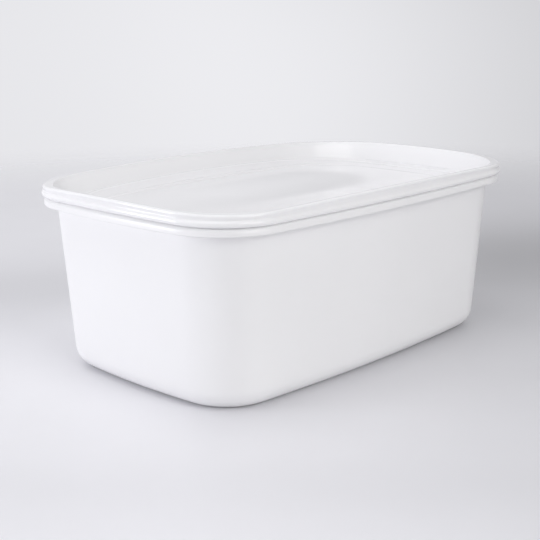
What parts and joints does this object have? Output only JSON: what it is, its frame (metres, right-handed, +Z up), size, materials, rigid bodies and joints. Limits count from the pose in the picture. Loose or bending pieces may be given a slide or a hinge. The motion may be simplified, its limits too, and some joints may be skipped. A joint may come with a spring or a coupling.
{
  "type": "freezer container",
  "caption": "Shut rectangular food container of glossy white plastic: a deep tub with bowed sides and a rounded collar, and a press-on lid with a sunken panel.",
  "frame": {"origin": "centre of the flat base, on the surface that the container stands on", "axes": "+X along the length, +Y across the width, +Z up through the lid"},
  "size_m": [0.2864, 0.1898, 0.1135],
  "materials": {
    "tub": "opaque white polypropylene, smooth and glossy with a faint moulded grain",
    "lid": "opaque white polypropylene, glossy, slightly wavy over the sunken panel"
  },
  "bodies": {
    "root": {"tub": "tub", "lid": "lid"}
  },
  "joints": []
}
